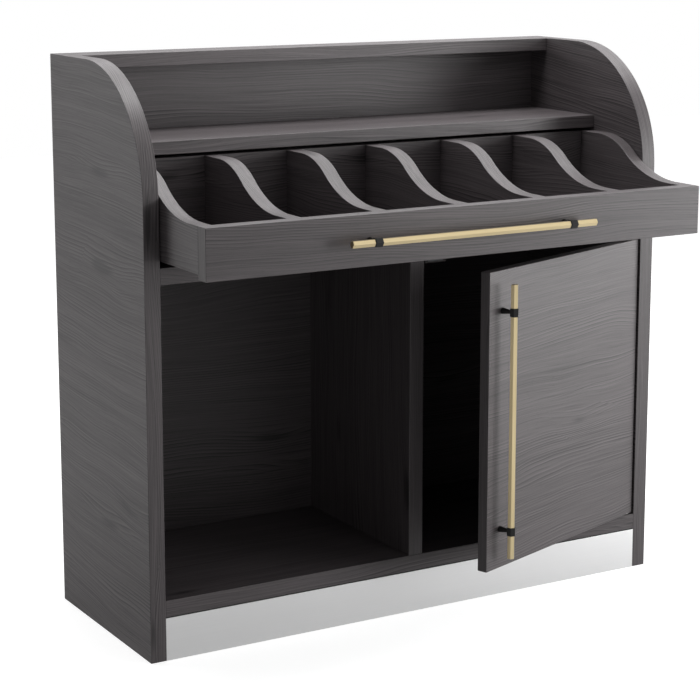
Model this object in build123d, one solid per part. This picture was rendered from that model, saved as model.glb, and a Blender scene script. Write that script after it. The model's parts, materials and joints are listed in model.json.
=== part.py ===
"""Service cabinet with a cutlery drawer, an open bay, a hinged door and a bowed-shoulder top.

Millimetres. The origin is the centre of the carcass footprint on the floor: X points to the
right, the front faces -Y and Z points up. The rest pose has the drawer pulled out by
DRAWER_OUT and the door swung open by DOOR_ANGLE.
"""

import os
from math import atan, cos, degrees, sqrt

from build123d import *

# ---------------------------------------------------------------- driving dimensions
WIDTH, DEPTH, HEIGHT = 1100.0, 400.0, 1051.0
SIDE_T = 30.0  # side panels, partition, bottom panel and drawer deck
SHOULDER_R = 232.0  # quarter-round top front corner of each side panel
BACK_T, BACK_INSET = 18.0, 4.0
EASE = 0.8  # small radius on every exposed board edge

PLINTH_H = 81.0
PLINTH_BOARD_T = 18.0
FACING_T, FACING_H = 1.5, 78.6
BAY_H = 566.0  # clear height of the two lower bays
DECK_Z = PLINTH_H + SIDE_T + BAY_H  # underside of the drawer deck
SHELF_Z, SHELF_T, SHELF_SETBACK = 881.0, 24.0, 159.0
RAIL_T, RAIL_DEPTH = 25.0, 75.0

DRAWER_OUT = 173.5  # how far the drawer stands out at rest
DRAWER_GAP = 2.0  # each side of the drawer, and under its front
FRONT_T, FRONT_H = 28.0, 90.5
DRAWER_SIDE_T, DIVIDER_T, DRAWER_BACK_T, DRAWER_BOTTOM_T = 25.0, 28.0, 20.0, 12.0
DRAWER_LENGTH = 358.7  # front face to rear face
DIVIDERS, DIVIDER_PITCH = 5, 169.0
SCOOP_START, SCOOP_RUN, SCOOP_RISE = 65.0, 217.0, 75.2  # start is from the front face
SCOOP_LOW_SHARE = 0.61  # concave arc's share of the two radii

RUNNER_H, RUNNER_W, RUNNER_L, RUNNER_X = 11.0, 36.0, 320.0, 440.0
RUNNER_WALL, RUNNER_BALL_GAP = 1.2, 3.2
RUNNER_LIP = 7.8  # top of the two lower members, above the deck
RUNNER_MIDDLE_Z, RUNNER_DRAWER_Z = 2.6, 4.4  # underside of the upper two, above the deck

DOOR_ANGLE = 19.7
DOOR_T, DOOR_W = 20.0, 496.0
DOOR_GAP_BELOW, DOOR_GAP_ABOVE = 2.5, 4.0
PIVOT_IN = 15.0  # pivot axis to the side panel's inner face
PIVOT_EDGE = 10.0  # pivot axis to the door's hinge edge

BAR_AF, BAR_L = 12.0, 513.0  # hexagonal handle bar, across flats
POST_PITCH, STAND_OFF = 410.0, 26.0
COLLAR_AF, COLLAR_L = 15.0, 16.0
POST_FOOT_R, POST_NECK_R, POST_FOOT_L = 6.0, 3.4, 1.0
HANDLE_TO_FREE_EDGE = 40.0

FIT = 0.05  # radial clearance of pins, screws and bars in their own holes

# ---------------------------------------------------------------- derived places
HALF_W = WIDTH / 2
INNER_X = HALF_W - SIDE_T
FRONT_Y, REAR_Y = -DEPTH / 2, DEPTH / 2
BACK_Y = REAR_Y - BACK_INSET - BACK_T  # front face of the back panel
FLOOR_Z = PLINTH_H + SIDE_T  # top of the bottom panel
DECK_TOP = DECK_Z + SIDE_T
RAIL_Z = HEIGHT - RAIL_T

DRAWER_X = INNER_X - DRAWER_GAP
DRAWER_Y = FRONT_Y - DRAWER_OUT  # front face of the drawer
BOX_Y = DRAWER_Y + FRONT_T  # back face of the drawer front
DRAWER_REAR = DRAWER_Y + DRAWER_LENGTH
DRAWER_FRONT_Z = DECK_TOP + DRAWER_GAP
BOX_Z = DECK_TOP + RUNNER_H  # underside of the drawer box
TRAY_Z = BOX_Z + DRAWER_BOTTOM_T
SCOOP_LOW = DRAWER_FRONT_Z + FRONT_H
SCOOP_HIGH = SCOOP_LOW + SCOOP_RISE

DOOR_Z0, DOOR_Z1 = FLOOR_Z + DOOR_GAP_BELOW, DECK_Z - DOOR_GAP_ABOVE
PIVOT_X, PIVOT_Y = INNER_X - PIVOT_IN, FRONT_Y + DOOR_T / 2
DOOR_X1 = PIVOT_X + PIVOT_EDGE
DOOR_X0 = DOOR_X1 - DOOR_W
DOOR_BACK = FRONT_Y + DOOR_T

parts = {}


# ---------------------------------------------------------------- shared shapes
def board(x0, x1, y0, y1, z0, z1, ease=EASE):
    """A flat board between two corners, with eased edges."""
    block = Pos((x0 + x1) / 2, (y0 + y1) / 2, (z0 + z1) / 2) * Box(x1 - x0, y1 - y0, z1 - z0)
    return fillet(block.edges(), ease) if ease else block


def profile_board(outline, x0, thickness):
    """A board cut to an outline in the YZ plane, with eased edges."""
    blank = extrude(Pos(x0, 0, 0) * (Plane.YZ * make_face(outline)), thickness, dir=(1, 0, 0))
    return fillet(blank.edges(), EASE)


def rod(start, along, radius, length):
    """A straight round bar or hole from a point, along a direction."""
    return Plane(origin=start, z_dir=along) * extrude(Circle(radius), length)


def turned(start, along, *stations):
    """A turned piece: (distance, radius) stations along its axis, joined by straight flanks."""
    outline = [(0, stations[0][0]), *((r, d) for d, r in stations), (0, stations[-1][0])]
    face = Plane.XZ * make_face(Polyline(*outline, close=True))
    return Plane(origin=start, z_dir=along) * revolve(face, Axis.Z)


def cross_recess(start, along, size, depth):
    """The cross-shaped driver recess cut into a screw head, from the head's face."""
    arms = Box(size, size / 4, 2 * depth) + Box(size / 4, size, 2 * depth)
    return Plane(origin=start, z_dir=along) * arms


def countersunk_screw(face, along, length, radius=2.0, head_radius=4.0):
    """Wood screw whose head is flush at the face and whose point lies along the direction."""
    head = head_radius - radius
    shank = turned(
        face, along, (0, head_radius), (head, radius), (length - 2 * radius, radius), (length, 0.4)
    )
    return shank - cross_recess(face, along, head_radius, head * 0.6)


def countersunk_hole(face, along, length, radius=2.0, head_radius=4.0):
    """The hole that a countersunk screw sits in."""
    head = head_radius - radius
    return turned(
        face,
        along,
        (-1, head_radius + FIT),
        (0, head_radius + FIT),
        (head, radius + FIT),
        (length + 0.5, radius + FIT),
    )


def pan_screw(face, along, length, radius=2.0, head_radius=3.8, head=2.2):
    """Pan-head screw: the head stands on the face and the shank lies along the direction."""
    body = turned(
        face,
        along,
        (-head, head_radius * 0.6),
        (-head * 0.6, head_radius * 0.92),
        (-head * 0.3, head_radius),
        (0, head_radius),
        (0, radius),
        (length, radius),
    )
    top = Vector(*face) - Vector(*along).normalized() * head
    return body - cross_recess(tuple(top), along, head_radius, head * 0.5)


def group(solids):
    """Several separate solids kept together as one node."""
    return Compound(children=list(solids))


# ---------------------------------------------------------------- carcass boards
def side_panel(x0):
    """Full-height side with a quarter-round top front corner."""
    shoulder = HEIGHT - SHOULDER_R
    up = Line((FRONT_Y, 0), (FRONT_Y, shoulder))
    arc = JernArc((FRONT_Y, shoulder), (0, 1), SHOULDER_R, -90)
    rest = Polyline((FRONT_Y + SHOULDER_R, HEIGHT), (REAR_Y, HEIGHT), (REAR_Y, 0), (FRONT_Y, 0))
    return profile_board([up, arc, rest], x0, SIDE_T)


def make_carcass():
    """The fixed boards."""
    parts["side_panel_left"] = side_panel(-HALF_W)
    parts["side_panel_right"] = side_panel(INNER_X)
    parts["bottom_panel"] = board(-INNER_X, INNER_X, FRONT_Y, BACK_Y, PLINTH_H, FLOOR_Z)
    half = SIDE_T / 2
    parts["partition"] = board(-half, half, FRONT_Y, BACK_Y, FLOOR_Z, DECK_Z)
    parts["drawer_deck"] = board(-INNER_X, INNER_X, FRONT_Y, BACK_Y, DECK_Z, DECK_TOP)
    parts["top_shelf"] = board(
        -INNER_X, INNER_X, FRONT_Y + SHELF_SETBACK, BACK_Y, SHELF_Z, SHELF_Z + SHELF_T
    )
    parts["top_rail"] = board(-INNER_X, INNER_X, REAR_Y - RAIL_DEPTH, REAR_Y, RAIL_Z, HEIGHT)
    parts["back_panel"] = board(-INNER_X, INNER_X, BACK_Y, BACK_Y + BACK_T, PLINTH_H, RAIL_Z)


def make_plinth():
    """Recess-free plinth: a dark board faced with brushed steel, a rear board and a bearer."""
    face_y = FRONT_Y + FACING_T
    rear_y = BACK_Y - 2 * PLINTH_BOARD_T
    parts["plinth_facing"] = board(-INNER_X, INNER_X, FRONT_Y, face_y, 0, FACING_H, ease=0.4)
    parts["plinth_board"] = board(
        -INNER_X, INNER_X, face_y, face_y + PLINTH_BOARD_T, 0, PLINTH_H, ease=0
    )
    parts["plinth_rear"] = board(
        -INNER_X, INNER_X, rear_y, rear_y + PLINTH_BOARD_T, 0, PLINTH_H, ease=0
    )
    half = SIDE_T / 2
    parts["floor_bearer"] = board(
        -half, half, face_y + PLINTH_BOARD_T, rear_y, 0, PLINTH_H, ease=0
    )


# ---------------------------------------------------------------- carcass fittings
CAM_R, CAM_INSET = 7.5, 34.0  # inset from the side panel's inner face to the cam's axis
CAM_PAST_MID = 4.5  # the cam reaches this far past the board's middle plane
CAM_SLOT_DEPTH = 2.5
BOLT_HEAD_IN = 5.0  # the bolt's head stands this far off the cam's axis
BOLT_HEAD_R, BOLT_NECK_R, BOLT_THREAD_R, BOLT_THREAD_L = 3.4, 2.2, 2.5, 11.0
CAM_BOLT_Y = {
    "bottom_panel": (-100.0, 120.0),
    "drawer_deck": (-100.0, 120.0),
    "top_shelf": (20.0, 120.0),
    "top_rail": (162.5,),
}
BOARD_UNDERSIDE = {
    "bottom_panel": (PLINTH_H, SIDE_T),
    "drawer_deck": (DECK_Z, SIDE_T),
    "top_shelf": (SHELF_Z, SHELF_T),
    "top_rail": (RAIL_Z, RAIL_T),
}


def cam_bolt(head, along):
    """Bolt from its head in the cam, past a collar at the board's end, to its threaded point."""
    wall = CAM_INSET - BOLT_HEAD_IN
    return turned(
        head,
        along,
        (0, BOLT_HEAD_R),
        (3, BOLT_HEAD_R),
        (4.5, BOLT_NECK_R),
        (wall - 4, BOLT_NECK_R),
        (wall - 3, BOLT_HEAD_R),
        (wall, BOLT_HEAD_R),
        (wall, BOLT_THREAD_R),
        (wall + BOLT_THREAD_L - 1, BOLT_THREAD_R),
        (wall + BOLT_THREAD_L, BOLT_THREAD_R - 1),
    )


def make_cam_fittings():
    """Cam locks in the undersides of the boards, with their bolts into the side panels."""
    cams, bolts = [], []
    for name, places in CAM_BOLT_Y.items():
        under, thick = BOARD_UNDERSIDE[name]
        mid = under + thick / 2
        deep = thick / 2 + CAM_PAST_MID
        for y in places:
            for side, panel in ((-1, "side_panel_left"), (1, "side_panel_right")):
                outward = (side, 0, 0)
                wall, cam_x = side * INNER_X, side * (INNER_X - CAM_INSET)
                head_x = side * (INNER_X - CAM_INSET + BOLT_HEAD_IN)
                cam = rod((cam_x, y, under), (0, 0, 1), CAM_R - FIT, deep)
                cam -= rod((head_x - side, y, mid), outward, BOLT_HEAD_R + 0.2, 2 * CAM_R)
                cam -= cross_recess((cam_x, y, under), (0, 0, 1), CAM_R, CAM_SLOT_DEPTH)
                cams.append(cam)
                bolts.append(cam_bolt((head_x, y, mid), outward))
                parts[name] -= rod((cam_x, y, under - 1), (0, 0, 1), CAM_R, deep + 1)
                parts[name] -= rod((cam_x, y, mid), outward, BOLT_HEAD_R + 0.1, CAM_INSET)
                parts[panel] -= rod((wall, y, mid), outward, BOLT_THREAD_R + FIT, BOLT_THREAD_L + 1)
    parts["cam_locks"] = group(cams)
    parts["cam_bolts"] = group(bolts)


DOWEL_R, DOWEL_L, DOWEL_IN_PARTITION = 4.0, 38.0, 24.0


def dowel(start, along):
    """A beech dowel with chamfered ends."""
    tip = DOWEL_R - 0.8
    return turned(start, along, (0, tip), (1, DOWEL_R), (DOWEL_L - 1, DOWEL_R), (DOWEL_L, tip))


def make_dowels():
    """Wooden dowels that locate the partition between the bottom panel and the deck."""
    dowels = []
    for y in (-130.0, 110.0):
        for z, way, board_name in ((FLOOR_Z, -1, "bottom_panel"), (DECK_Z, 1, "drawer_deck")):
            inner_end = z - DOWEL_IN_PARTITION * way
            dowels.append(dowel((0, y, inner_end), (0, 0, way)))
            hole = rod((0, y, inner_end - way), (0, 0, way), DOWEL_R + FIT, DOWEL_L + 2)
            parts["partition"] -= hole
            parts[board_name] -= hole
    parts["partition_dowels"] = group(dowels)


BACK_SCREW_L = 45.0
BACK_SCREW_X = (-450.0, -150.0, 150.0, 450.0)


def make_back_screws():
    """Countersunk screws through the back panel into the rear edges of the boards."""
    screws = []
    rear = BACK_Y + BACK_T
    for board_name in ("bottom_panel", "drawer_deck", "top_shelf"):
        under, thick = BOARD_UNDERSIDE[board_name]
        for x in BACK_SCREW_X:
            spot = (x, rear, under + thick / 2)
            screws.append(countersunk_screw(spot, (0, -1, 0), BACK_SCREW_L))
            hole = countersunk_hole(spot, (0, -1, 0), BACK_SCREW_L)
            parts["back_panel"] -= hole
            parts[board_name] -= hole
    parts["back_panel_screws"] = group(screws)


# ---------------------------------------------------------------- drawer box
def scooped_board(x0, thickness, bottom, rear):
    """Drawer side or divider: low at the front, swept up by two tangent arcs to a high rear."""
    angle = 2 * atan(SCOOP_RISE / SCOOP_RUN)
    radii = SCOOP_RISE / (1 - cos(angle))
    start = (DRAWER_Y + SCOOP_START, SCOOP_LOW)
    concave = JernArc(start, (1, 0), SCOOP_LOW_SHARE * radii, degrees(angle))
    convex = JernArc(concave @ 1, concave % 1, (1 - SCOOP_LOW_SHARE) * radii, -degrees(angle))
    level = Line((BOX_Y, SCOOP_LOW), start)
    rest = Polyline(convex @ 1, (rear, SCOOP_HIGH), (rear, bottom), (BOX_Y, bottom))
    closing = Line((BOX_Y, bottom), (BOX_Y, SCOOP_LOW))
    return profile_board([level, concave, convex, rest, closing], x0, thickness)


def make_drawer():
    """Front, scooped sides and dividers, back and bottom."""
    inner = DRAWER_X - DRAWER_SIDE_T
    back_y = DRAWER_REAR - DRAWER_BACK_T
    parts["drawer_front"] = board(
        -DRAWER_X, DRAWER_X, DRAWER_Y, BOX_Y, DRAWER_FRONT_Z, SCOOP_LOW
    )
    parts["drawer_side_left"] = scooped_board(-DRAWER_X, DRAWER_SIDE_T, BOX_Z, DRAWER_REAR)
    parts["drawer_side_right"] = scooped_board(inner, DRAWER_SIDE_T, BOX_Z, DRAWER_REAR)
    parts["drawer_back"] = board(-inner, inner, back_y, DRAWER_REAR, BOX_Z, SCOOP_HIGH)
    parts["drawer_bottom"] = board(-inner, inner, BOX_Y, back_y, BOX_Z, TRAY_Z, ease=0)
    middle = (DIVIDERS - 1) / 2
    for i in range(DIVIDERS):
        left_face = (i - middle) * DIVIDER_PITCH - DIVIDER_T / 2
        parts[f"divider_{i + 1}"] = scooped_board(left_face, DIVIDER_T, TRAY_Z, back_y)


DRAWER_SCREW_L, DRAWER_SCREW_IN = 50.0, 35.0


def make_drawer_screws():
    """Screws through the drawer sides' rear ends into the drawer back."""
    screws = []
    y = DRAWER_REAR - DRAWER_BACK_T / 2
    for side, panel in ((-1, "drawer_side_left"), (1, "drawer_side_right")):
        for z in (BOX_Z + DRAWER_SCREW_IN, SCOOP_HIGH - DRAWER_SCREW_IN):
            spot = (side * DRAWER_X, y, z)
            screws.append(countersunk_screw(spot, (-side, 0, 0), DRAWER_SCREW_L))
            hole = countersunk_hole(spot, (-side, 0, 0), DRAWER_SCREW_L)
            parts[panel] -= hole
            parts["drawer_back"] -= hole
    parts["drawer_box_screws"] = group(screws)


# ---------------------------------------------------------------- drawer runners
def channel(x, width, y0, z0, z1, web_up):
    """A U-section steel member; its web lies at the bottom, or at the top if web_up."""
    outer = board(x - width / 2, x + width / 2, y0, y0 + RUNNER_L, z0, z1, ease=0)
    hollow = width / 2 - RUNNER_WALL
    low = z0 - 1 if web_up else z0 + RUNNER_WALL
    high = z1 - RUNNER_WALL if web_up else z1 + 1
    return outer - board(x - hollow, x + hollow, y0 - 1, y0 + RUNNER_L + 1, low, high, ease=0)


RUNNER_SCREW_R, RUNNER_HEAD_R, RUNNER_HEAD_H = 1.75, 3.4, 1.0
RUNNER_SCREW_IN = 30.0  # first and last screw, from the member's ends
DECK_SCREW_L, TRAY_SCREW_L = 16.0, 11.0


def fix_member(member, board_name, x, y0, z, up, length, screws):
    """Screws a runner member to a board at three places, and returns it drilled."""
    for along in (RUNNER_SCREW_IN, RUNNER_L / 2, RUNNER_L - RUNNER_SCREW_IN):
        face, way = (x, y0 + along, z), (0, 0, up)
        screws.append(pan_screw(face, way, length, RUNNER_SCREW_R, RUNNER_HEAD_R, RUNNER_HEAD_H))
        hole = rod(face, way, RUNNER_SCREW_R + FIT, length + 1)
        member -= hole
        parts[board_name] -= hole
    return member


def make_runners():
    """Two flat ball-bearing runners of three nested members each, between deck and drawer."""
    closed_y = FRONT_Y + FRONT_T + 2
    middle_y, drawer_y = closed_y - DRAWER_OUT / 2, closed_y - DRAWER_OUT
    nesting = 2 * (RUNNER_WALL + RUNNER_BALL_GAP)
    middle_w, inner_w = RUNNER_W - nesting, RUNNER_W - 2 * nesting
    lip = DECK_TOP + RUNNER_LIP
    web, roof = DECK_TOP + RUNNER_WALL, BOX_Z - RUNNER_WALL
    deck_screws, tray_screws = [], []
    for side, word in ((-1, "left"), (1, "right")):
        x = side * RUNNER_X
        fixed = channel(x, RUNNER_W, closed_y, DECK_TOP, lip, False)
        fixed = fix_member(fixed, "drawer_deck", x, closed_y, web, -1, DECK_SCREW_L, deck_screws)
        middle = channel(x, middle_w, middle_y, DECK_TOP + RUNNER_MIDDLE_Z, lip, False)
        sliding = channel(x, inner_w, drawer_y, DECK_TOP + RUNNER_DRAWER_Z, BOX_Z, True)
        sliding = fix_member(
            sliding, "drawer_bottom", x, drawer_y, roof, 1, TRAY_SCREW_L, tray_screws
        )
        parts[f"runner_cabinet_{word}"] = fixed
        parts[f"runner_middle_{word}"] = middle
        parts[f"runner_drawer_{word}"] = sliding
    parts["runner_deck_screws"] = group(deck_screws)
    parts["runner_drawer_screws"] = group(tray_screws)


# ---------------------------------------------------------------- handles
BAR_CHAMFER, COLLAR_CHAMFER = 0.8, 1.2
HANDLE_SCREW_R, HANDLE_SCREW_GRIP = 2.0, 12.0  # grip is the thread's length in the post


def hexagon_bar(across_flats, length, chamfer_size):
    """A hexagonal bar along X, centred, with a corner facing -Y."""
    section = Plane.YZ * RegularPolygon(across_flats / sqrt(3), 6, major_radius=True)
    bar = extrude(Pos(-length / 2, 0, 0) * section, length, dir=(1, 0, 0))
    ends = bar.faces().sort_by(Axis.X)
    return chamfer(ends[0].edges() + ends[-1].edges(), chamfer_size)


def handle_post(x):
    """A hexagonal collar round the bar on a conical foot, bored for the bar and the screw."""
    collar = Pos(x, 0, 0) * hexagon_bar(COLLAR_AF, COLLAR_L, COLLAR_CHAMFER)
    neck = BAR_AF / sqrt(3) + 0.6
    foot = turned(
        (x, neck, 0),
        (0, 1, 0),
        (0, POST_NECK_R),
        (STAND_OFF - neck - POST_FOOT_L, POST_FOOT_R),
        (STAND_OFF - neck, POST_FOOT_R),
    )
    bar_way = Pos(x, 0, 0) * hexagon_bar(BAR_AF + 2 * FIT, 3 * COLLAR_L, 0.1)
    tapping = rod((x, STAND_OFF, 0), (0, -1, 0), HANDLE_SCREW_R + FIT, HANDLE_SCREW_GRIP + 2)
    return collar + foot - bar_way - tapping


def make_handle(name, panel, thickness, place):
    """Bar, two posts and two screws; place puts the handle's own frame on the panel."""
    ends = (-POST_PITCH / 2, POST_PITCH / 2)
    inside = STAND_OFF + thickness
    length = thickness + HANDLE_SCREW_GRIP
    parts[f"{name}_bar"] = place * hexagon_bar(BAR_AF, BAR_L, BAR_CHAMFER)
    parts[f"{name}_posts"] = group(place * handle_post(x) for x in ends)
    parts[f"{name}_screws"] = group(
        place * pan_screw((x, inside, 0), (0, -1, 0), length, HANDLE_SCREW_R) for x in ends
    )
    for x in ends:
        way = rod((x, inside + 1, 0), (0, -1, 0), HANDLE_SCREW_R + 0.2, thickness + 2)
        parts[panel] -= place * way


# ---------------------------------------------------------------- door
PIN_R, BUSH_R, BUSH_L = 3.0, 5.0, 15.0
BUSH_FLANGE_R, BUSH_FLANGE_T = 7.0, 2.0
PLATE_T, PLATE_W, PLATE_L = 3.0, 18.0, 70.0
PLATE_SCREW_Y = (30.0, 60.0)  # from the plate's front end
HINGE_SCREW = (22.0, 1.9, 3.9)  # length, shank radius, head radius

CATCH_W, CATCH_D, CATCH_H = 46.0, 14.6, 13.0
CATCH_FROM_EDGE = 12.0  # door's free edge to the catch
CATCH_RIM = 0.4  # the magnet stands this far out of the housing
MAGNET_W, MAGNET_D, MAGNET_H = 34.0, 9.0, 7.0
STRIKE_W, STRIKE_T, STRIKE_H = 40.0, 1.5, 10.5
STRIKE_GAP = 0.3  # strike plate to magnet when the door is shut
STRIKE_FROM_TOP = 0.8  # strike plate to the door's top edge
CATCH_SCREW_PITCH, STRIKE_SCREW_PITCH = 34.0, 30.0
CATCH_SCREW, STRIKE_SCREW = (26.0, 1.5, 2.9), (14.0, 1.5, 2.9)


def make_hinges():
    """Top and bottom pivot hinges: plates let into the carcass, pins, and bushes in the door."""
    plates, pins, bushes, screws = [], [], [], []
    half = PLATE_W / 2
    y0 = PIVOT_Y - half + 1
    places = ((FLOOR_Z, 1, DOOR_Z0, "bottom_panel"), (DECK_Z, -1, DOOR_Z1, "drawer_deck"))
    for z, up, door_z, board_name in places:
        inward, outward = (0, 0, up), (0, 0, -up)
        sunk = z - up * PLATE_T
        low, high = sorted((z, sunk))
        plate = board(PIVOT_X - half, PIVOT_X + half, y0, y0 + PLATE_L, low, high, ease=0)
        parts[board_name] -= plate
        plate -= rod((PIVOT_X, PIVOT_Y, z + up), outward, PIN_R, PLATE_T + 2)
        for along in PLATE_SCREW_Y:
            spot = (PIVOT_X, y0 + along, z)
            screws.append(countersunk_screw(spot, outward, *HINGE_SCREW))
            hole = countersunk_hole(spot, outward, *HINGE_SCREW)
            plate -= hole
            parts[board_name] -= hole
        plates.append(plate)
        gap = abs(door_z - z)
        door_edge = (PIVOT_X, PIVOT_Y, door_z)
        pins.append(rod((PIVOT_X, PIVOT_Y, sunk), inward, PIN_R, PLATE_T + gap + BUSH_L - 2))
        bush = rod(door_edge, inward, BUSH_R, BUSH_L)
        bush += rod(door_edge, outward, BUSH_FLANGE_R, BUSH_FLANGE_T)
        bush -= rod((PIVOT_X, PIVOT_Y, z), inward, PIN_R + FIT, gap + BUSH_L - 1)
        bushes.append(bush)
        socket = rod((PIVOT_X, PIVOT_Y, door_z - up), inward, BUSH_R + FIT, BUSH_L + 1 + FIT)
        parts["door_panel"] -= socket
    parts["hinge_plates"] = group(plates)
    parts["hinge_pins"] = group(pins)
    parts["hinge_bushes"] = group(bushes)
    parts["hinge_screws"] = group(screws)


def screwed(places, along, size, *names):
    """Countersunk screws at some places; the named pieces are drilled for them."""
    for spot in places:
        hole = countersunk_hole(spot, along, *size)
        for name in names:
            parts[name] -= hole
    return group(countersunk_screw(spot, along, *size) for spot in places)


def make_catch():
    """Magnetic catch under the deck by the partition, and its strike plate on the door."""
    mid = DOOR_X0 + CATCH_FROM_EDGE + CATCH_W / 2
    low = DECK_Z - CATCH_H
    magnet_y = DOOR_BACK + STRIKE_T + STRIKE_GAP
    rim_y = magnet_y + CATCH_RIM
    middle_z = low + CATCH_H / 2
    half, half_h = MAGNET_W / 2, MAGNET_H / 2
    housing = board(
        mid - CATCH_W / 2, mid + CATCH_W / 2, rim_y, rim_y + CATCH_D, low, DECK_Z, ease=1.0
    )
    magnet = board(
        mid - half, mid + half, magnet_y, magnet_y + MAGNET_D,
        middle_z - half_h, middle_z + half_h, ease=0,
    )
    parts["catch_magnet"] = magnet
    parts["catch_housing"] = housing - magnet
    strike_y = DOOR_BACK + STRIKE_T
    strike_z = DOOR_Z1 - STRIKE_FROM_TOP - STRIKE_H / 2
    parts["catch_strike"] = board(
        mid - STRIKE_W / 2, mid + STRIKE_W / 2, DOOR_BACK, strike_y,
        strike_z - STRIKE_H / 2, strike_z + STRIKE_H / 2, ease=0,
    )
    screw_y = magnet_y + MAGNET_D + 3
    sides = (-0.5, 0.5)
    up = [(mid + side * CATCH_SCREW_PITCH, screw_y, low) for side in sides]
    parts["catch_screws"] = screwed(up, (0, 0, 1), CATCH_SCREW, "catch_housing", "drawer_deck")
    front = [(mid + side * STRIKE_SCREW_PITCH, strike_y, strike_z) for side in sides]
    parts["strike_screws"] = screwed(front, (0, -1, 0), STRIKE_SCREW, "catch_strike", "door_panel")


DOOR_PIECES = (
    "door_panel",
    "door_handle_bar",
    "door_handle_posts",
    "door_handle_screws",
    "hinge_bushes",
    "catch_strike",
    "strike_screws",
)


def make_door():
    """The door is drawn closed, then swung about its pivot axis to its rest angle."""
    parts["door_panel"] = board(DOOR_X0, DOOR_X1, FRONT_Y, DOOR_BACK, DOOR_Z0, DOOR_Z1)
    middle = (DOOR_Z0 + DOOR_Z1) / 2
    upright = Rot(0, 90, 0)
    place = Pos(DOOR_X0 + HANDLE_TO_FREE_EDGE, FRONT_Y - STAND_OFF, middle) * upright
    make_handle("door_handle", "door_panel", DOOR_T, place)
    make_hinges()
    make_catch()
    pivot = Axis((PIVOT_X, PIVOT_Y, 0), (0, 0, 1))
    for name in DOOR_PIECES:
        parts[name] = parts[name].rotate(pivot, DOOR_ANGLE)


# ---------------------------------------------------------------- assembly
make_carcass()
make_plinth()
make_cam_fittings()
make_dowels()
make_back_screws()
make_drawer()
make_drawer_screws()
make_runners()
front_middle = (DRAWER_FRONT_Z + SCOOP_LOW) / 2
make_handle("drawer_handle", "drawer_front", FRONT_T, Pos(0, DRAWER_Y - STAND_OFF, front_middle))
make_door()

os.makedirs("parts", exist_ok=True)
for name, shape in parts.items():
    export_step(shape, f"parts/{name}.step")
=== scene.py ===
import json
import math

import bpy
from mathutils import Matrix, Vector


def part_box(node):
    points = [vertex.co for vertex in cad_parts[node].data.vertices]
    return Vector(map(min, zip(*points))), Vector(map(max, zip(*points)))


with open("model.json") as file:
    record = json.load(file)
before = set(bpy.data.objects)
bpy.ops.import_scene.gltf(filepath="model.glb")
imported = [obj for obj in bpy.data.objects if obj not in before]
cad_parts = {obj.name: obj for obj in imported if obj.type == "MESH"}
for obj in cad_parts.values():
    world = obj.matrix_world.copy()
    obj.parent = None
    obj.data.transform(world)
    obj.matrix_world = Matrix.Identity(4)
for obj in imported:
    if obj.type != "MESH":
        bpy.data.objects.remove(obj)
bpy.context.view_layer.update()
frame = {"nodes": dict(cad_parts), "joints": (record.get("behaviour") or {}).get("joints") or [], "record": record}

# Looks of the service cabinet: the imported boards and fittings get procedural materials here,
# and the stage, lights and camera are set round them. Metres.

# ---------------------------------------------------------------- driving values
def grey(value):
    return value, value, value, 1


STAIN_DARK = (0.0230, 0.0199, 0.0209, 1)
STAIN_LIGHT = (0.1100, 0.0955, 0.1000, 1)
BEECH_DARK = (0.40, 0.26, 0.15, 1)
BEECH_LIGHT = (0.62, 0.45, 0.29, 1)
BRASS = (0.56, 0.435, 0.215, 1), (0.78, 0.65, 0.39, 1)
STEEL = (0.76, 0.76, 0.763, 1), (0.83, 0.83, 0.833, 1)
ZINC = (0.48, 0.49, 0.50, 1), (0.64, 0.65, 0.66, 1)
LACQUER = {"Coat_Weight": 1.0, "Coat_Roughness": 0.18}

SHOULDER_R = 0.232  # rounded top front corner of the side panels
RING_PITCH = 0.0058  # growth-ring lines on the flat faces
EDGE_STRETCH = 1.9  # finer figure on the narrow edges
SIDE_TILT = 0.07  # the side panels' figure falls towards the front
SIDE_CONTRAST = 1.5  # and is stronger than on the other boards
MID_TONE = 0.57  # of the wood, from 0 dark to 1 light
WOOD_ROUGHNESS, WOOD_SPECULAR = 0.46, 0.45
WOOD_BUMP = 0.00012

# Layers of the wood figure, each as a stretch: along the grain, across it, through the board.
WANDER, DRIFT = (1.3, 3.2, 5.0), (3.6, 11.0, 9.0)  # slow bends of all lines
KNOTS = (2.9, 12.0, 0.0)
SWELL, EYES = (1.2, 9.0, 4.0), (6.0, 36.0, 12.0)  # push the rings apart and into loops
FADE = (1.6, 46.0, 6.0)  # where the rings show
FIBRES, STREAKS, BANDS = (6.0, 520.0, 60.0), (2.2, 170.0, 30.0), (0.9, 40.0, 8.0)
CLOUDS, PORES = (2.2, 6.0, 3.0), (60.0, 900.0, 90.0)

FLOOR_SIZE = 14.0
FLOOR_COLOUR, FLOOR_SHADED_IN_REFLECTIONS = grey(0.40), grey(0.18)  # to the camera, and in reflections, where the darker colour is painted shade
FLOOR_NEAR, FLOOR_EVEN = 0.4, 3.2  # distances between which the camera sees the glow rise; the dimmer glow near the cabinet is painted shade
FLOOR_GLOW_SHADED_NEAR, FLOOR_GLOW_FAR = 0.80, 1.0
SHINE_NEAR, SHINE_EVEN = 0.6, 1.8  # the same distances in reflections, where the dimmer shine near the cabinet is painted shade
FLOOR_SHINE_SHADED_NEAR, FLOOR_SHINE_FAR = 0.37, 0.68
WORLD_LIGHT = 0.12
WORLD_SEEN = 1.0

CAMERA_PLACE = (-1.937, -3.269, 1.299)
CAMERA_YAW, CAMERA_PITCH = 30.30, 10.31  # degrees: right of +Y, and down
CAMERA_LENS, CAMERA_SHIFT = 102.72, -0.10

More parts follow.
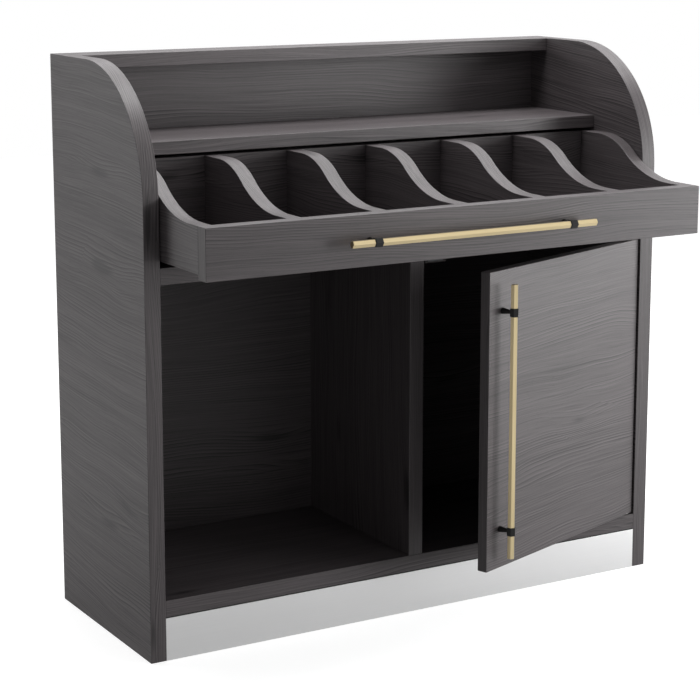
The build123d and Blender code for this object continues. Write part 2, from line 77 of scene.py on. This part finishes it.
# name: (place, aim, width, height, watts)
SOFT_LIGHTS = {
    "top": ((0.0, 0.0, 2.6), (0.0, 0.0, 0.8), 1.4, 0.8, 37.0),
    "over_front": ((0.0, -1.3, 3.2), (0.0, 0.0, 0.8), 2.4, 1.2, 5.0),
    "top_right": ((1.6, 0.0, 2.8), (0.3, 0.0, 0.8), 1.2, 0.9, 23.0),
    "key_right": ((3.1, -3.3, 1.2), (0.0, 0.0, 0.6), 1.6, 1.8, 63.0),
    "low_right": ((2.5, -2.0, 0.5), (0.2, -0.2, 0.5), 1.4, 0.8, 27.0),
    "side_right": ((3.2, -0.6, 1.2), (0.3, -0.2, 0.6), 1.2, 2.0, 55.0),
    "rear_far": ((0.0, 3.0, 2.9), (0.0, 0.0, 0.9), 4.0, 1.4, 38.0),
    "rear_mid": ((0.0, 1.4, 2.8), (0.0, 0.0, 0.8), 2.2, 0.8, 16.0),
    "rear_right": ((2.0, 1.6, 2.6), (0.3, 0.0, 0.9), 2.0, 1.2, 19.0),
    "rear_left": ((-2.6, 2.2, 1.5), (-0.4, 0.0, 0.6), 1.6, 2.0, 34.0),
    "low_left": ((-2.6, -2.6, 0.9), (0.0, 0.0, 0.4), 1.6, 1.2, 5.0),
    "front_card": ((2.2, -3.4, 3.2), (0.0, 0.0, 0.7), 4.2, 3.2, 36.0),
    "rear_card": ((3.2, 2.6, 1.0), (0.0, 0.0, 0.6), 2.5, 2.0, 10.0),
}


# ---------------------------------------------------------------- node helpers
class Nodes:
    """A node tree, with short calls for the nodes that these materials are made of."""

    def __init__(self, tree):
        self.tree = tree
        tree.nodes.clear()

    def add(self, kind, **settings):
        node = self.tree.nodes.new(kind)
        for key, value in settings.items():
            setattr(node, key, value)
        return node

    def put(self, socket, value):
        """Feeds a socket from another one, or sets its constant."""
        if isinstance(value, bpy.types.NodeSocket):
            self.tree.links.new(value, socket)
        else:
            socket.default_value = value

    def math(self, operation, *values):
        node = self.add("ShaderNodeMath", operation=operation)
        for socket, value in zip(node.inputs, values):
            self.put(socket, value)
        return node.outputs[0]

    def total(self, *values):
        result = values[0]
        for value in values[1:]:
            result = self.math("ADD", result, value)
        return result

    def vector(self, x, y, z):
        node = self.add("ShaderNodeCombineXYZ")
        for socket, value in zip(node.inputs, (x, y, z)):
            self.put(socket, value)
        return node.outputs[0]

    def split(self, vector):
        node = self.add("ShaderNodeSeparateXYZ")
        self.put(node.inputs[0], vector)
        return node.outputs[:]

    def stretch(self, vector, scale):
        node = self.add("ShaderNodeVectorMath", operation="MULTIPLY")
        self.put(node.inputs[0], vector)
        self.put(node.inputs[1], scale)
        return node.outputs[0]

    def pick(self, factor, first, second):
        """The first vector where the factor is 0, and the second where it is 1."""
        node = self.add("ShaderNodeMix", data_type="VECTOR")
        self.put(node.inputs[0], factor)
        self.put(node.inputs[4], first)
        self.put(node.inputs[5], second)
        return node.outputs[1]

    def blend(self, factor, first, second):
        """A colour between two others."""
        node = self.add("ShaderNodeMix", data_type="RGBA")
        self.put(node.inputs[0], factor)
        self.put(node.inputs[6], first)
        self.put(node.inputs[7], second)
        return node.outputs[2]

    def noise(self, vector, scale, detail=2.0, roughness=0.5):
        """Noise from about -1 to 1."""
        node = self.add("ShaderNodeTexNoise")
        self.put(node.inputs["Vector"], vector)
        self.put(node.inputs["Scale"], scale)
        self.put(node.inputs["Detail"], detail)
        self.put(node.inputs["Roughness"], roughness)
        return self.math("MULTIPLY_ADD", node.outputs[0], 2.0, -1.0)

    def layer(self, place, stretch, detail=2.0, roughness=0.5):
        """Noise of a stretched place."""
        return self.noise(self.stretch(place, stretch), 1.0, detail, roughness)

    def spots(self, vector):
        """Scattered points: the distance to the nearest one, and a number that it keeps."""
        node = self.add("ShaderNodeTexVoronoi", voronoi_dimensions="2D")
        self.put(node.inputs["Vector"], vector)
        self.put(node.inputs["Scale"], 1.0)
        return node.outputs["Distance"], self.split(node.outputs["Color"])[0]

    def span(self, value, low, high, out_low=0.0, out_high=1.0):
        """The value's place between low and high, smoothed, as a number between two others."""
        node = self.add("ShaderNodeMapRange", interpolation_type="SMOOTHSTEP")
        for socket, number in zip(node.inputs, (value, low, high, out_low, out_high)):
            self.put(socket, number)
        return node.outputs[0]

    def bump(self, height, distance, strength=1.0):
        node = self.add("ShaderNodeBump")
        self.put(node.inputs["Height"], height)
        self.put(node.inputs["Distance"], distance)
        self.put(node.inputs["Strength"], strength)
        return node.outputs[0]

    def surface(self, colour, roughness, normal=None, **values):
        """The shader and the output; plain numbers stay on the shader's own sockets."""
        shader = self.add("ShaderNodeBsdfPrincipled")
        self.put(shader.inputs["Base Color"], colour)
        self.put(shader.inputs["Roughness"], roughness)
        if normal is not None:
            self.put(shader.inputs["Normal"], normal)
        for name, value in values.items():
            self.put(shader.inputs[name.replace("_", " ")], value)
        output = self.add("ShaderNodeOutputMaterial")
        self.tree.links.new(shader.outputs[0], output.inputs[0])


def new_material(name):
    material = bpy.data.materials.new(name)
    material.use_nodes = True
    return material, Nodes(material.node_tree)


def object_place(n):
    """Place and facing in the piece's own frame."""
    source = n.add("ShaderNodeTexCoord")
    return source.outputs["Object"], source.outputs["Normal"]


# ---------------------------------------------------------------- wood
def door_swing():
    return next(j for j in frame["joints"] if j["name"] == "door_swing")


def turned_back(n, vector, pivot):
    """A vector of the door as if the door were closed."""
    node = n.add("ShaderNodeVectorRotate", rotation_type="Z_AXIS")
    n.put(node.inputs["Vector"], vector)
    n.put(node.inputs["Center"], pivot)
    n.put(node.inputs["Angle"], math.radians(door_swing()["range_deg"][0]))
    return node.outputs[0]


def edge_run(n, y, z):
    """Distance along a side panel's edge band: up the front, round the shoulder, to the rear."""
    low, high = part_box("side_panel_left")
    past_front = n.math("SUBTRACT", y, low.y + SHOULDER_R)
    past_shoulder = n.math("SUBTRACT", z, high.z - SHOULDER_R)
    rise = n.math("MAXIMUM", past_shoulder, 0.0)
    reach = n.math("MAXIMUM", n.math("MULTIPLY", past_front, -1.0), 0.0)
    turn = n.math("ARCTAN2", rise, reach)
    arc = n.math("MULTIPLY", turn, SHOULDER_R)
    return n.total(n.math("MINIMUM", past_shoulder, 0.0), n.math("MAXIMUM", past_front, 0.0), arc)


def grain_place(n, layout):
    """Place in the veneer's own frame: along the grain, across it, and through the board."""
    place, facing = object_place(n)
    if layout == "door":
        place = turned_back(n, place, door_swing()["pos_m"])
        facing = turned_back(n, facing, (0, 0, 0))
    x, y, z = n.split(place)
    sides = [n.math("GREATER_THAN", n.math("ABSOLUTE", part), 0.7) for part in n.split(facing)]
    fine_x, fine_y = (n.math("MULTIPLY", part, EDGE_STRETCH) for part in (x, y))
    if layout == "depth":
        return n.pick(sides[0], n.vector(y, fine_x, z), n.vector(y, z, x))
    if layout == "side":
        band = n.vector(edge_run(n, y, z), fine_x, 0.0)
        return n.pick(sides[0], band, n.vector(y, n.math("MULTIPLY_ADD", y, -SIDE_TILT, z), x))
    if layout == "upright":
        face = n.pick(sides[1], n.vector(y, x, z), n.vector(z, fine_x, y))
        return n.pick(sides[0], face, n.vector(z, y, x))
    face = n.pick(sides[2], n.vector(x, z, y), n.vector(x, y, z))
    return n.pick(sides[0], face, n.vector(z, fine_y, x))


def figure(n, place):
    """Stained-wood figure: (tone from 0 dark to 1 light, roughness, height)."""
    along, across, through = n.split(place)
    wander = n.layer(place, WANDER)
    drift = n.layer(place, DRIFT)
    bent = n.total(across, n.math("MULTIPLY", wander, 0.050), n.math("MULTIPLY", drift, 0.006))
    lines = n.vector(along, bent, through)

    # distance to the nearest knot; most knots are pushed out of reach
    knot, chance = n.spots(n.stretch(lines, KNOTS))
    knot = n.math("ADD", knot, n.span(chance, 0.58, 0.62, 2.0, 0.0))
    swell = n.layer(lines, SWELL, detail=1.0)
    eyes = n.layer(lines, EYES, detail=1.0)
    phase = n.total(
        n.math("DIVIDE", bent, RING_PITCH),
        n.math("MULTIPLY", swell, 4.5),
        n.math("MULTIPLY", eyes, 0.5),
        n.span(knot, 0.55, 0.0, 0.0, 2.6),
    )
    # each ring has a light early line and a dark late line
    ring = n.math("FRACT", phase)
    strength = n.span(n.layer(lines, FADE), -0.25, 0.40)
    late = n.math("MULTIPLY", n.span(ring, 0.62, 0.90), n.span(ring, 1.0, 0.94))
    early = n.math("MULTIPLY", n.span(ring, 0.0, 0.08), n.span(ring, 0.42, 0.12))
    rings = n.math("MULTIPLY_ADD", late, -1.0, n.math("MULTIPLY", early, 0.8))
    rings = n.math("MULTIPLY", rings, strength)

    fibres = n.layer(lines, FIBRES, roughness=0.6)
    streaks = n.layer(lines, STREAKS, detail=3.0, roughness=0.7)
    bands = n.layer(lines, BANDS)
    clouds = n.layer(place, CLOUDS)
    pores = n.span(n.layer(lines, PORES, detail=1.0), 0.15, 0.55)
    smudge = n.span(n.math("MULTIPLY_ADD", eyes, 0.14, knot), 0.15, 0.0)

    tone = n.total(
        n.math("MULTIPLY_ADD", rings, 0.64, MID_TONE),
        n.math("MULTIPLY", fibres, 0.62),
        n.math("MULTIPLY", streaks, 0.36),
        n.math("MULTIPLY", bands, 0.20),
        n.math("MULTIPLY", clouds, 0.14),
        n.math("MULTIPLY", pores, -0.22),
        n.math("MULTIPLY", smudge, -0.50),
    )
    roughness = n.math("MULTIPLY_ADD", streaks, -0.06, WOOD_ROUGHNESS)
    height = n.total(n.math("MULTIPLY", fibres, 0.5), n.math("MULTIPLY", pores, -0.8))
    return tone, roughness, height


def wood(name, layout, dark=STAIN_DARK, light=STAIN_LIGHT, contrast=1.0):
    material, n = new_material(name)
    tone, roughness, height = figure(n, grain_place(n, layout))
    tone = n.math("MULTIPLY_ADD", tone, contrast, MID_TONE * (1.0 - contrast))
    colour = n.blend(tone, dark, light)
    bump = n.bump(height, WOOD_BUMP, 0.6)
    n.surface(colour, roughness, bump, Specular_IOR_Level=WOOD_SPECULAR)
    return material


# ---------------------------------------------------------------- metals and plastics
def brushed(name, dark, light, roughness, along, depth=0.00003, **constants):
    """Metal with fine brush lines; along is the stretch of the lines on each axis."""
    material, n = new_material(name)
    place, _ = object_place(n)
    lines = n.noise(n.stretch(place, along), 1.0, 3.0, 0.65)
    patches = n.noise(place, 7.0, 2.0)
    tone = n.total(n.math("MULTIPLY_ADD", lines, 0.5, 0.5), n.math("MULTIPLY", patches, 0.2))
    rough = n.math("MULTIPLY_ADD", lines, 0.05, roughness)
    constants = {"Metallic": 1.0, **constants}
    n.surface(n.blend(tone, dark, light), rough, n.bump(lines, depth, 0.5), **constants)
    return material


def painted(name, dark, light, roughness, grain=900.0, depth=0.00004, **constants):
    """Powder coat, moulded plastic or ferrite: a fine even texture."""
    material, n = new_material(name)
    place, _ = object_place(n)
    fine = n.noise(place, grain, 2.0)
    patches = n.noise(place, 12.0, 2.0)
    tone = n.total(n.math("MULTIPLY_ADD", fine, 0.3, 0.5), n.math("MULTIPLY", patches, 0.25))
    rough = n.math("MULTIPLY_ADD", patches, 0.05, roughness)
    n.surface(n.blend(tone, dark, light), rough, n.bump(fine, depth, 0.5), **constants)
    return material


slot_materials = {
    "veneer_side": wood("veneer_side", "depth"),
    "veneer_long": wood("veneer_long", "width"),
    "veneer_upright": wood("veneer_upright", "upright"),
    "veneer_door": wood("veneer_door", "door"),
    "beech": wood("beech", "upright", BEECH_DARK, BEECH_LIGHT),
    "brushed_steel": brushed(
        "brushed_steel", *STEEL, 0.36, (3.0, 200.0, 1400.0), Metallic=0.93
    ),
    "brass": brushed("brass", *BRASS, 0.30, (9.0, 900.0, 900.0), **LACQUER),
    "zinc": brushed("zinc", *ZINC, 0.36, (300.0, 12.0, 300.0)),
    "steel_pin": brushed("steel_pin", *ZINC, 0.24, (40.0, 40.0, 900.0)),
    "black_metal": painted("black_metal", grey(0.005), grey(0.010), 0.30, Specular_IOR_Level=0.32),
    "black_screws": painted("black_screws", grey(0.03), grey(0.06), 0.34, Metallic=0.6),
    "nylon": painted("nylon", (0.72, 0.71, 0.67, 1), (0.84, 0.83, 0.79, 1), 0.48, 500.0),
    "catch_plastic": painted(
        "catch_plastic", (0.035, 0.030, 0.028, 1), (0.06, 0.05, 0.05, 1), 0.50, 700.0
    ),
    "magnet": painted("magnet", (0.10, 0.10, 0.11, 1), (0.19, 0.19, 0.20, 1), 0.55, 1200.0),
}
# pieces that need more than their slot's material
node_materials = {
    "side_panel_left": wood("veneer_side_panel", "side", contrast=SIDE_CONTRAST),
    # the plinth board is painted near-black so that the gap above the steel facing shows as a dark line: painted
    # shade in the seam
    "plinth_board": painted("plinth_board", grey(0.010), grey(0.018), 0.60),
    "door_handle_bar": brushed("brass_upright", *BRASS, 0.30, (900.0, 900.0, 9.0), **LACQUER),
}
node_materials["side_panel_right"] = node_materials["side_panel_left"]

for part in frame["record"]["subparts"]:
    name = part["node"]
    piece = frame["nodes"][name]
    piece.data.materials.clear()
    piece.data.materials.append(node_materials.get(name, slot_materials[part["material_slot"]]))


# ---------------------------------------------------------------- stage, lights, camera
def make_floor():
    """A pale studio floor that glows, with painted shade: it glows less near the cabinet, and is darker in
    reflections than to the camera.
    """
    half = FLOOR_SIZE / 2
    mesh = bpy.data.meshes.new("studio_floor")
    corners = [(-half, -half, 0), (half, -half, 0), (half, half, 0), (-half, half, 0)]
    mesh.from_pydata(corners, [], [(0, 1, 2, 3)])
    floor = bpy.data.objects.new("studio_floor", mesh)
    bpy.context.scene.collection.objects.link(floor)
    material, n = new_material("studio_floor")
    place, _ = object_place(n)
    rough = n.math("MULTIPLY_ADD", n.noise(place, 3.0, 2.0), 0.05, 0.7)
    x, y, _ = n.split(place)
    away = n.math("SQRT", n.math("ADD", n.math("MULTIPLY", x, x), n.math("MULTIPLY", y, y)))
    # painted shade: the floor glows less near the cabinet, both to the camera and in reflections
    glow = n.span(away, FLOOR_NEAR, FLOOR_EVEN, FLOOR_GLOW_SHADED_NEAR, FLOOR_GLOW_FAR)
    seen = n.add("ShaderNodeLightPath").outputs["Is Camera Ray"]
    shine = n.span(away, SHINE_NEAR, SHINE_EVEN, FLOOR_SHINE_SHADED_NEAR, FLOOR_SHINE_FAR)
    glow = n.math("MULTIPLY_ADD", seen, n.math("SUBTRACT", glow, shine), shine)
    # painted shade: the floor's colour is darker in reflections than to the camera
    colour = n.blend(seen, FLOOR_SHADED_IN_REFLECTIONS, FLOOR_COLOUR)
    n.surface(colour, rough, Emission_Color=(1, 1, 1, 1), Emission_Strength=glow)
    mesh.materials.append(material)
    floor.visible_diffuse = False


def soft_light(name, place, aim, width, height, watts):
    """A rectangular soft box turned towards a point."""
    lamp = bpy.data.lights.new(name, "AREA")
    lamp.shape = "RECTANGLE"
    lamp.size, lamp.size_y = width, height
    lamp.energy = watts
    box = bpy.data.objects.new(name, lamp)
    bpy.context.scene.collection.objects.link(box)
    box.location = place
    box.rotation_euler = (Vector(aim) - Vector(place)).to_track_quat("-Z", "Y").to_euler()
    box.visible_camera = False


def make_world():
    """White to the camera, and a dimmer even light on the object."""
    world = bpy.data.worlds.new("studio")
    world.use_nodes = True
    n = Nodes(world.node_tree)
    seen = n.add("ShaderNodeLightPath").outputs["Is Camera Ray"]
    strength = n.math("MULTIPLY_ADD", seen, WORLD_SEEN - WORLD_LIGHT, WORLD_LIGHT)
    background = n.add("ShaderNodeBackground")
    background.inputs[0].default_value = (1, 1, 1, 1)
    n.put(background.inputs[1], strength)
    output = n.add("ShaderNodeOutputWorld")
    world.node_tree.links.new(background.outputs[0], output.inputs[0])
    bpy.context.scene.world = world


def make_camera():
    lens = bpy.data.cameras.new("studio_camera")
    lens.lens, lens.shift_y = CAMERA_LENS, CAMERA_SHIFT
    camera = bpy.data.objects.new("studio_camera", lens)
    bpy.context.scene.collection.objects.link(camera)
    camera.location = CAMERA_PLACE
    camera.rotation_euler = (math.radians(90 - CAMERA_PITCH), 0, math.radians(-CAMERA_YAW))
    bpy.context.scene.camera = camera


make_floor()
for name, settings in SOFT_LIGHTS.items():
    soft_light(name, *settings)
make_world()
make_camera()
bpy.context.scene.view_settings.view_transform = "Standard"
